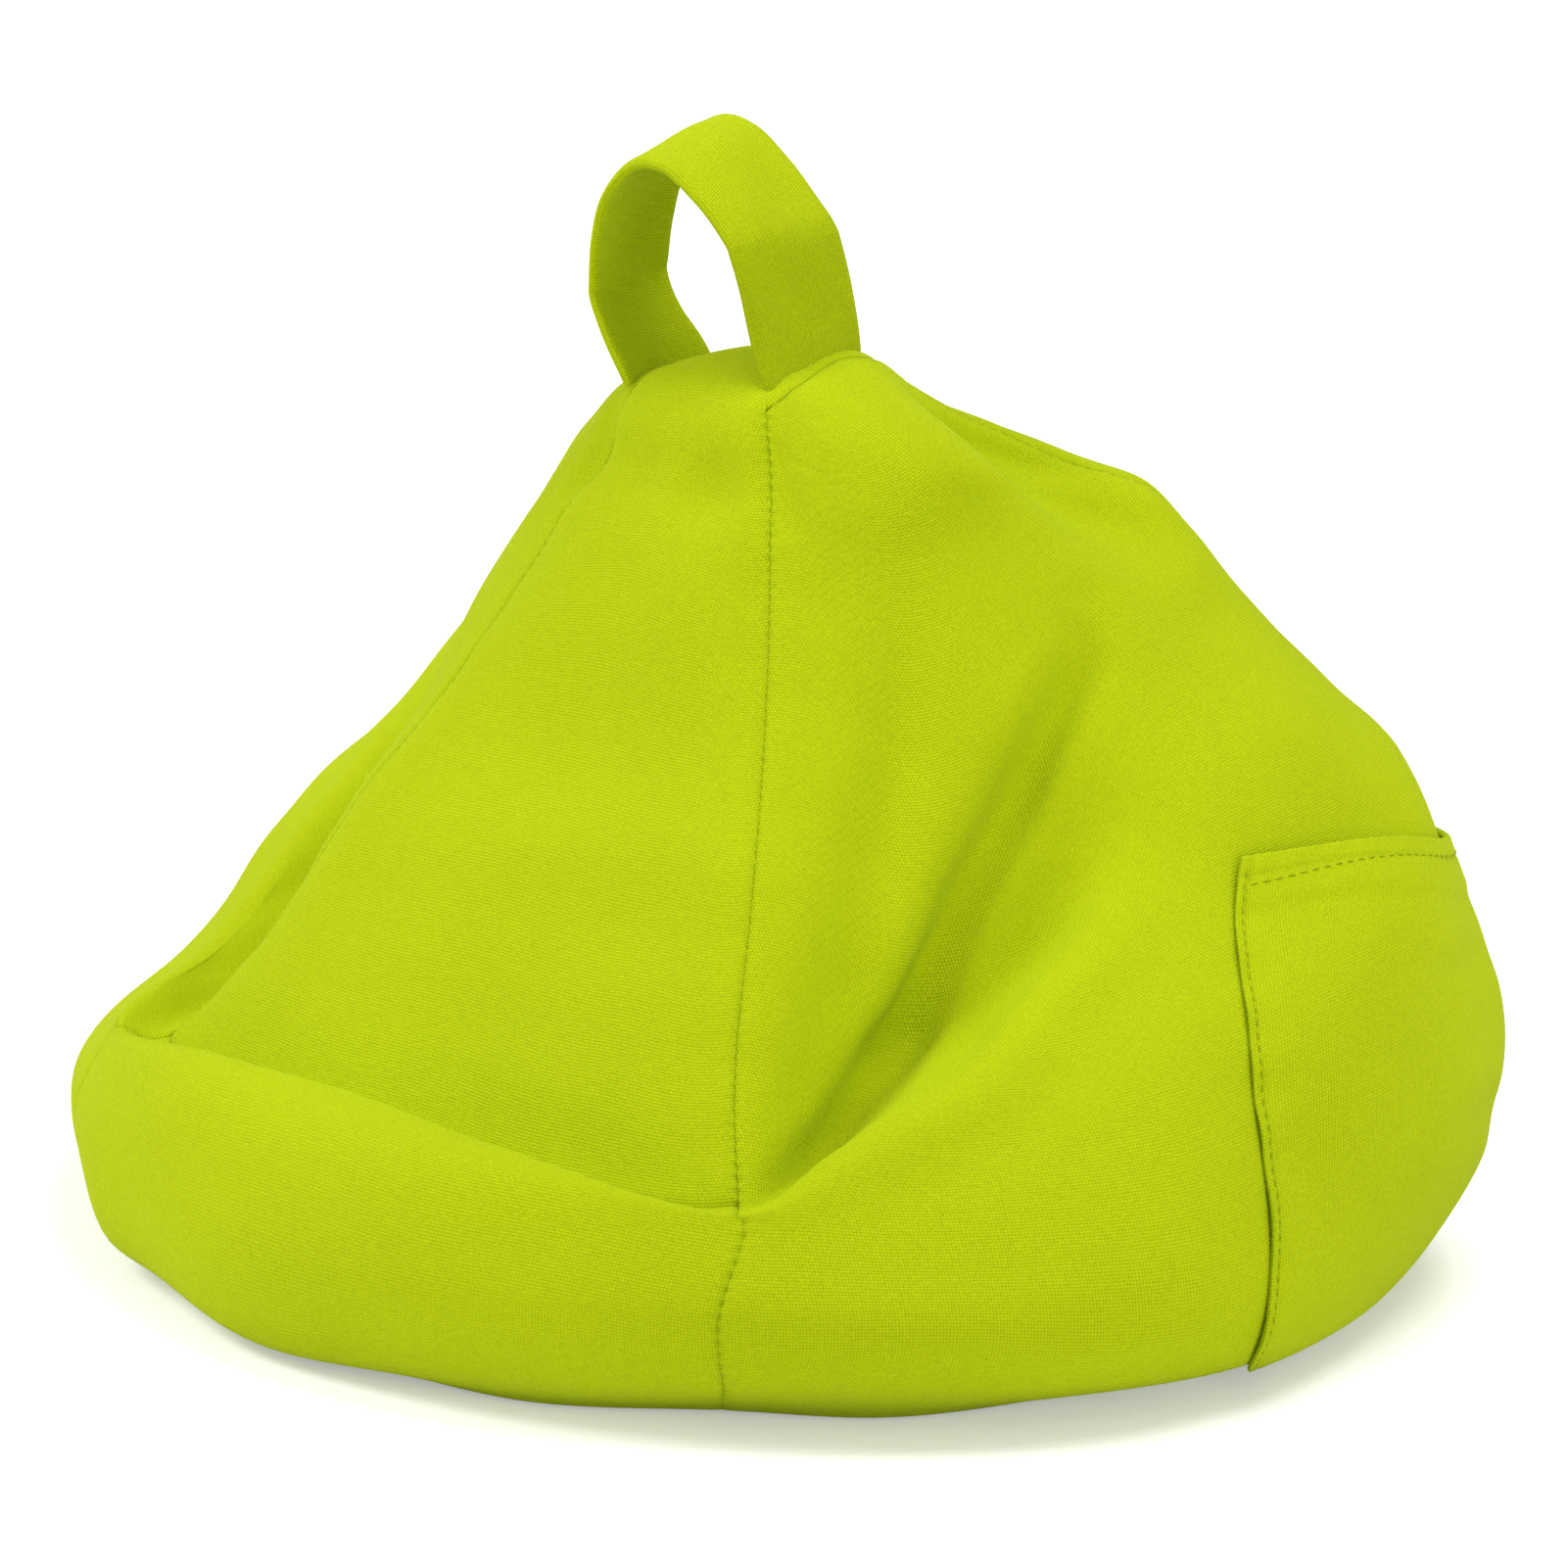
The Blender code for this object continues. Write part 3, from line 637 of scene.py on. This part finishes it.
def build_beads():
    """Bead filling behind the cover, in the uneven cover's own shape."""
    stations = np.linspace(0, STATIONS, 144, endpoint=False)
    s, r = np.meshgrid(stations, np.linspace(0.25, CAP_ROW + 0.8, 70))
    points, _ = dressed(s, r, lift=-BEAD_INSET)
    points[..., 2] = np.maximum(points[..., 2], BEAD_FLOOR)
    count = points.shape[0] * points.shape[1]
    columns = len(stations)
    foot = points[0].mean(axis=0)
    foot[2] = BEAD_FLOOR
    tip = points[-1].mean(axis=0)
    tip[2] = points[-1][:, 2].max()
    every = np.concatenate([points.reshape(-1, 3), [foot, tip]])
    faces = grid_faces(*points.shape[:2], closed=True)
    last = count - columns
    faces += [((j + 1) % columns, j, count) for j in range(columns)]
    faces += [(last + j, last + (j + 1) % columns, count + 1) for j in range(columns)]
    piece = mesh_object("bead_fill", every, faces)
    n = Nodes("beads")
    place = n.add("ShaderNodeNewGeometry").outputs["Position"]
    cells = n.add("ShaderNodeTexVoronoi", {"Vector": place, "Scale": 380.0})
    bump = n.add("ShaderNodeBump", {"Strength": 0.8, "Distance": 0.001, "Height": cells.outputs[0]},
                 invert=True)
    n.put(n.shader.inputs["Normal"], bump.outputs[0])
    # each bead is painted light in its middle and darker towards its rim and the gaps: painted shade
    n.put(n.shader.inputs["Base Color"],
          n.mix(cells.outputs[0], (0.82, 0.82, 0.8, 1), (0.6, 0.6, 0.58, 1)))
    n.shader.inputs["Roughness"].default_value = 0.6
    piece.data.materials.append(n.material)
    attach(piece, BODY)
    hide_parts("bead_filling")


def shell(name, middle, normals, thickness, uv, shade):
    """Closed sheet round a grid of middle points; its thickness runs out to 0 along its edges."""
    rows, columns = middle.shape[:2]
    outer = middle + normals * thickness[..., None] / 2
    inner = middle - normals * thickness[..., None] / 2
    count = rows * columns
    border = np.zeros((rows, columns), bool)
    border[0] = border[-1] = border[:, 0] = border[:, -1] = True
    index = np.arange(count).reshape(rows, columns)
    inner_index = np.where(border, index, index + count).ravel()
    faces = grid_faces(rows, columns)
    faces += [tuple(int(inner_index[i]) for i in face[::-1]) for face in faces]
    points = np.concatenate([outer.reshape(-1, 3), inner.reshape(-1, 3)])
    piece = mesh_object(name, points, faces, np.concatenate([uv.reshape(-1, 2)] * 2),
                        np.concatenate([shade.ravel()] * 2))
    loose = bmesh.new()
    loose.from_mesh(piece.data)
    bmesh.ops.delete(loose, geom=[v for v in loose.verts if not v.link_faces], context="VERTS")
    loose.to_mesh(piece.data)
    loose.free()
    return piece


def rounding(distance, thickness):
    """Share of the full thickness at a distance from a sheet's edge: a half round."""
    x = np.clip(distance / (thickness / 2), 0, 1)
    return np.sqrt(1 - (1 - x) ** 2)


def bisect(low, high, below):
    """Where `below` stops being true between low and high, for whole arrays."""
    low, high = np.broadcast_arrays(low, high)
    low, high = low.astype(float).copy(), high.astype(float).copy()
    for _ in range(26):
        middle = (low + high) / 2
        short = below(middle)
        low, high = np.where(short, middle, low), np.where(short, high, middle)
    return low


def pocket_field(u, v):
    """Stations and rows of the pocket's grid, from its front edge to the back seam."""
    corner = np.array((LIP_CORNER + BACK_CORNER) / 2)
    for _ in range(6):
        row = bisect(np.array(0.0), np.array(float(CAP_ROW)),
                     lambda m: skin.plain(corner, m)[..., 2] < POCKET_HEIGHT)
        corner = bisect(*np.array(POCKET_SEEK),
                        lambda m: skin.plain(m, row)[..., 1] < POCKET_FRONT_TOP)
    below = corner + (BACK_CORNER - corner) * u[0]
    mouth = POCKET_HEIGHT - POCKET_REAR_DROP * u[0]
    top = bisect(0 * below, 0 * below + CAP_ROW, lambda m: skin.plain(below, m)[..., 2] < mouth)
    foot = bisect(0 * below, 0 * below + CAP_ROW,
                  lambda m: skin.plain(below, m)[..., 2] < POCKET_FOOT)
    row = foot[None] + (top - foot)[None] * v
    edge = POCKET_FRONT_FOOT + (POCKET_FRONT_TOP - POCKET_FRONT_FOOT) * v ** 2
    edge = edge + POCKET_CURL * np.exp(-v / POCKET_CURL_SHARE)
    start = bisect(0 * row + POCKET_SEEK[0], 0 * row + POCKET_SEEK[1],
                   lambda m: skin.plain(m, row)[..., 1] < edge)
    return start + (POCKET_REAR - start) * u, row


def pocket_slack(u, v):
    """Height of the pocket's cloth off the bag: its mouth gapes most a third of the way back."""
    gape = np.clip(u / POCKET_GAPE_SHARE, 0, 1) ** 0.75
    return POCKET_SLACK * np.maximum(np.sin(np.pi * gape), 0) ** 1.2 * v ** 1.5


def share_steps(length, first, growth, inner):
    """Shares from 0 to 1 along a length, fine at both ends."""
    return edge_steps(0, length, inner, first, growth)[1:-1] / length


def stitch_line(places, normals, name):
    """Thread stitches lying end to end on a line of surface points."""
    run = np.concatenate([[0], np.cumsum(np.linalg.norm(np.diff(places, axis=0), axis=1))])

    def at(distance, values):
        return np.array([np.interp(distance, run, values[:, k]) for k in range(3)])

    points, faces = [], []
    around, bars = 6, 5
    for k in range(int(run[-1] / STITCH) - 1):
        middle = (k + 1) * STITCH
        for b in range(bars + 1):
            t = b / bars
            where = at(middle + (t - 0.5) * STITCH_LENGTH, places)
            ahead = at(middle + (t - 0.5) * STITCH_LENGTH + 0.2 * MM, places) - where
            ahead /= np.linalg.norm(ahead)
            up = at(middle, normals)
            up /= np.linalg.norm(up)
            beside = np.cross(ahead, up)
            arch = math.sin(math.pi * t)
            size = STITCH_RADIUS * (0.35 + 0.65 * arch ** 0.5)
            center = where + up * (STITCH_RADIUS * (1.2 * arch - 0.5))
            for a in range(around):
                turn = 2 * math.pi * a / around
                points.append(center + size * (beside * math.cos(turn) + up * math.sin(turn)))
        first = k * (bars + 1) * around
        faces += [tuple(first + i for i in face) for face in grid_faces(bars + 1, around, closed=True)]
        faces.append(tuple(first + i for i in range(around))[::-1])
        faces.append(tuple(first + bars * around + i for i in range(around)))
    piece = mesh_object(name, np.array(points), faces)
    piece.data.materials.append(THREADS)
    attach(piece, BODY)


def sewing_thread():
    """Two-ply thread, a little darker than the cloth."""
    n = Nodes("sewing_thread")
    place = n.add("ShaderNodeNewGeometry").outputs["Position"]
    ply = n.add("ShaderNodeTexWave", {"Vector": place, "Scale": 900.0, "Distortion": 2.0})
    n.put(n.shader.inputs["Base Color"],
          n.mix(ply.outputs[1], (*THREAD_LIME, 1), tuple(c * 0.7 for c in THREAD_LIME) + (1,)))
    bump = n.add("ShaderNodeBump", {"Strength": 0.4, "Distance": 0.0001, "Height": ply.outputs[1]})
    n.put(n.shader.inputs["Normal"], bump.outputs[0])
    n.shader.inputs["Roughness"].default_value = 0.7
    n.shader.inputs["Specular IOR Level"].default_value = 0.1
    return n.material


THREADS = sewing_thread()


def build_pocket():
    """Patch pocket with a gaping mouth, a turned hem and two lines of stitches."""
    us = share_steps(POCKET_SPAN[0], 0.1 * MM, 1.4, 0.9 * MM)
    vs = share_steps(POCKET_SPAN[1], 0.1 * MM, 1.4, 0.6 * MM)
    u, v = np.meshgrid(us, vs)
    station, row = pocket_field(u, v)
    base, normals = dressed(station, row)
    base = settle(base, skin.plain(station, row))
    across, up = lengths_along(base, 1), lengths_along(base, 0)
    front, rear = across, across[:, -1:] - across
    down = up[-1:] - up
    # a soft roll lies across the pocket above its middle
    roll = 1.2 * MM * np.sin(np.pi * u) * np.exp(-((v - 0.62) / 0.16) ** 2)
    lift = 0.35 * MM + pocket_slack(u, v) + roll
    hem = 1 / (1 + np.exp((down - HEM_DEPTH) / (0.7 * MM)))
    thickness = SHEET + (HEM_THICK - SHEET) * hem
    hem_line = np.exp(-((down - HEM_LINE) / (0.55 * MM)) ** 2)
    edge_line = np.exp(-((front - EDGE_LINE) / (0.5 * MM)) ** 2)
    hem_holes = 1 + 0.45 * np.cos(2 * np.pi * across / STITCH)
    edge_holes = 1 + 0.5 * np.cos(2 * np.pi * up / STITCH)
    pull = 0.30 * MM * hem_line * hem_holes + 0.30 * MM * edge_line * edge_holes
    wave = np.sin(up / (2.4 * MM) + 2 * np.sin(up / (13 * MM)))
    pucker = 0.35 * MM * wave * np.exp(-front / (5 * MM))
    edge = np.minimum(np.minimum(front, rear), np.minimum(up, down))
    body = rounding(edge, thickness) * thickness
    middle = base + normals * (lift + thickness / 2 - pull + pucker * (edge > 0))[..., None]
    middle[..., 2] = np.maximum(middle[..., 2], HEM_THICK)
    uv = np.stack([across, up], -1)
    # painted shadow along the front edge, where it stands off the bag, and a darker tone along the two
    # stitch lines
    shade = 0.25 * hem_line + 0.35 * edge_line + 0.6 * np.exp(-front / (0.5 * MM))
    piece = shell("pocket", middle, normals, body, uv, shade)
    finish_cloth(piece, ["side_pocket"])
    outer = middle + normals * body[..., None] / 2
    hem_row = int(np.argmin(np.abs(down[:, len(us) // 2] - HEM_LINE)))
    edge_column = int(np.argmin(np.abs(front[len(vs) // 2] - EDGE_LINE)))
    stitch_line(outer[hem_row, 3:-3], normals[hem_row, 3:-3], "hem_stitches")
    stitch_line(outer[3:-3, edge_column], normals[3:-3, edge_column], "pocket_edge_stitches")


# Strap's two long edges from the left foot over the top to the right foot, as x and z in mm
STRAP_FRONT = [(-22, 167), (-26, 173), (-31.5, 181), (-34.8, 187.5), (-35, 191.5), (-34, 200),
               (-30.5, 208.5), (-23, 215.6), (-14, 215.6), (-5, 210), (2.8, 202.2), (4.4, 199.4),
               (7.1, 192.6), (10.6, 181.2), (14.5, 171.5), (15, 165)]
STRAP_REAR = [(-22, 169), (-27, 176), (-33.5, 183.5), (-37.2, 190.5), (-37.2, 194.5), (-36, 203),
              (-32, 213), (-22.5, 222.8), (-12, 222.3), (-3, 216), (5.4, 207.8), (8.9, 203.9),
              (10.4, 201), (13.6, 192), (16.2, 180), (15.5, 169)]


def smooth_curve(places, steps):
    """A curve through the places, with the given steps between each two."""
    places = np.array(places, float)
    ends = np.vstack([2 * places[0] - places[1], places, 2 * places[-1] - places[-2]])
    t = np.arange(steps) / steps
    line = [spline(*ends[k - 1:k + 3][:, None, :], t) for k in range(1, len(ends) - 2)]
    return np.vstack(line + [places[-1:]])


def build_handle():
    """Folded strap that leaves the cap's seam at both feet."""
    front = smooth_curve([(x * MM, STRAP_FRONT_Y, z * MM) for x, z in STRAP_FRONT], 18)
    rear = smooth_curve([(x * MM, STRAP_REAR_Y, z * MM) for x, z in STRAP_REAR], 18)
    shares = share_steps(STRAP_WIDTH, 0.15 * MM, 1.4, 0.9 * MM)
    places = np.linspace(0, 1, len(front))[:, None]
    grid = front[:, None] * (1 - shares[None, :, None]) + rear[:, None] * shares[None, :, None]
    normals = np.cross(np.gradient(grid, axis=0), np.gradient(grid, axis=1))
    normals /= np.linalg.norm(normals, axis=-1, keepdims=True)
    run_across, run_along = lengths_along(grid, 1), lengths_along(grid, 0)
    edge = np.minimum(run_across, run_across[:, -1:] - run_across)
    end = np.minimum(run_along, run_along[-1:] - run_along)
    crown = 0.9 * MM * np.sin(np.pi * shares)[None] * np.sin(np.pi * places)
    fold = 0.35 * MM * swell(grid, 11, 0.02)
    middle = grid + normals * (crown + fold)[..., None]
    thickness = STRAP_THICK * rounding(np.minimum(edge, end + 0.2 * MM), STRAP_THICK)
    thickness *= 0.82 + 0.18 * np.exp(-((edge - 2 * MM) / (1.6 * MM)) ** 2)
    thickness[0] = thickness[-1] = 0
    uv = np.stack([run_across, run_along], -1)
    # the right leg is painted darker, as painted shade, and the long edges are darker too
    leg = np.clip((places - 0.60) / 0.22, 0, 1)
    shade = 0.05 + 0.35 * np.exp(-edge / (0.5 * MM)) + 0.75 * leg * leg * (3 - 2 * leg)
    piece = shell("strap", middle, normals, thickness, uv, shade)
    finish_cloth(piece, ["handle_strap"])


def simple_finish(name, base, deep, roughness, metallic, scale):
    """Two tones of one colour with a fine bump."""
    n = Nodes(name)
    place = n.add("ShaderNodeNewGeometry").outputs["Position"]
    noise = n.add("ShaderNodeTexNoise", {"Vector": place, "Scale": scale, "Detail": 3.0})
    n.put(n.shader.inputs["Base Color"], n.mix(noise.outputs[0], (*base, 1), (*deep, 1)))
    bump = n.add("ShaderNodeBump", {"Strength": 0.3, "Distance": 0.0001, "Height": noise.outputs[0]})
    n.put(n.shader.inputs["Normal"], bump.outputs[0])
    n.shader.inputs["Roughness"].default_value = roughness
    n.shader.inputs["Metallic"].default_value = metallic
    return n.material


def finish_zip():
    """Tape, coil and metal of the base's zip."""
    tape = simple_finish("zip_tape", LIME_DEEP, tuple(c * 0.7 for c in LIME_DEEP), 0.9, 0.0, 1500.0)
    metal = simple_finish("zip_metal", (0.55, 0.55, 0.53), (0.4, 0.4, 0.39), 0.35, 1.0, 700.0)
    for node, finish in (("zip_tape_front", tape), ("zip_tape_rear", tape), ("zip_chain", tape),
                         ("zip_slider", metal), ("zip_pull", metal)):
        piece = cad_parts[node]
        if not piece.data.materials:
            piece.data.materials.append(finish)
        piece.material_slots[0].material = finish


def aim(obj, place, target):
    """Put an object at a place, facing a target."""
    obj.location = place
    obj.rotation_euler = (Vector(target) - Vector(place)).to_track_quat("-Z", "Y").to_euler()


def area_light(name, place, target, size, power):
    data = bpy.data.lights.new(name, "AREA")
    data.shape = "DISK"
    data.size = size
    data.energy = power
    lamp = bpy.data.objects.new(name, data)
    bpy.context.scene.collection.objects.link(lamp)
    aim(lamp, place, target)


# Camera's view, and distances from the origin between which the floor turns white
CAMERA_TURN = math.radians(42)
CAMERA_RISE = math.radians(14)
CAMERA_DISTANCE = 0.88
CAMERA_TARGET = (0.012, 0.010, 0.092)
CAMERA_LENS = 98.9
FLOOR_NEAR = 0.20
FLOOR_FAR = 0.75
FLOOR_SIZE = 8
FLOOR_DROP = 0.0003            # below the bag's lowest point, so that no two faces coincide


def build_camera():
    scene = bpy.context.scene
    data = bpy.data.cameras.new("camera")
    data.lens = CAMERA_LENS
    data.sensor_width = 36
    data.clip_start = 0.01
    camera = bpy.data.objects.new("camera", data)
    scene.collection.objects.link(camera)
    flat = math.cos(CAMERA_RISE)
    way = Vector((math.sin(CAMERA_TURN) * flat, -math.cos(CAMERA_TURN) * flat, math.sin(CAMERA_RISE)))
    aim(camera, Vector(CAMERA_TARGET) + way * CAMERA_DISTANCE, CAMERA_TARGET)
    scene.camera = camera
    scene.view_settings.view_transform = "Standard"


def build_floor():
    """White floor that brightens outward, so that it has no horizon."""
    bpy.ops.mesh.primitive_plane_add(size=FLOOR_SIZE, location=(0, 0, -FLOOR_DROP))
    floor = bpy.context.object
    floor.name = "floor"
    n = Nodes("floor")
    n.shader.inputs["Base Color"].default_value = (0.86, 0.86, 0.85, 1)
    n.shader.inputs["Roughness"].default_value = 0.9
    n.shader.inputs["Specular IOR Level"].default_value = 0.1
    path = n.add("ShaderNodeLightPath")
    seen = n.math("ADD", path.outputs["Is Camera Ray"], path.outputs["Is Glossy Ray"], clamp=True)
    place = n.add("ShaderNodeNewGeometry").outputs["Position"]
    away = n.add("ShaderNodeVectorMath", {0: place}, operation="LENGTH").outputs["Value"]
    grow = n.add("ShaderNodeMapRange", {"Value": away, "From Min": FLOOR_NEAR, "From Max": FLOOR_FAR,
                                        "To Min": 0.32, "To Max": 0.8})
    n.put(n.shader.inputs["Emission Strength"], n.math("MULTIPLY", seen, grow.outputs[0]))
    n.shader.inputs["Emission Color"].default_value = (1, 1, 1, 1)
    floor.data.materials.append(n.material)


def build_world():
    """Pure white where it is seen, and dimmer as a light."""
    world = bpy.data.worlds.new("world")
    bpy.context.scene.world = world
    world.use_nodes = True
    tree = world.node_tree
    dim = tree.nodes["Background"]
    white = tree.nodes.new("ShaderNodeBackground")
    for background, strength in ((dim, 0.44), (white, 1.0)):
        background.inputs["Color"].default_value = (1, 1, 1, 1)
        background.inputs["Strength"].default_value = strength
    path = tree.nodes.new("ShaderNodeLightPath")
    seen = path.outputs["Is Camera Ray"]
    for ray in ("Is Glossy Ray", "Is Transmission Ray"):
        either = tree.nodes.new("ShaderNodeMath")
        either.operation = "MAXIMUM"
        tree.links.new(seen, either.inputs[0])
        tree.links.new(path.outputs[ray], either.inputs[1])
        seen = either.outputs[0]
    mix = tree.nodes.new("ShaderNodeMixShader")
    for k, source in enumerate((seen, dim.outputs[0], white.outputs[0])):
        tree.links.new(source, mix.inputs[k])
    tree.links.new(mix.outputs[0], tree.nodes["World Output"].inputs["Surface"])


def build_lights():
    area_light("key", (-0.95, -0.95, 1.30), (0, 0, 0.05), 0.7, 17)
    area_light("top", (0.35, 0.35, 1.6), (0, 0, 0.05), 0.9, 16)
    area_light("front", (-0.70, -1.20, 0.45), (0, 0, 0.05), 0.8, 2.6)
    area_light("fill", (1.35, -0.30, 0.32), (0.05, 0, 0.05), 0.8, 5.5)


build_covers()
build_backrest()
build_base()
build_beads()
build_pocket()
build_handle()
finish_zip()
build_camera()
build_floor()
build_world()
build_lights()
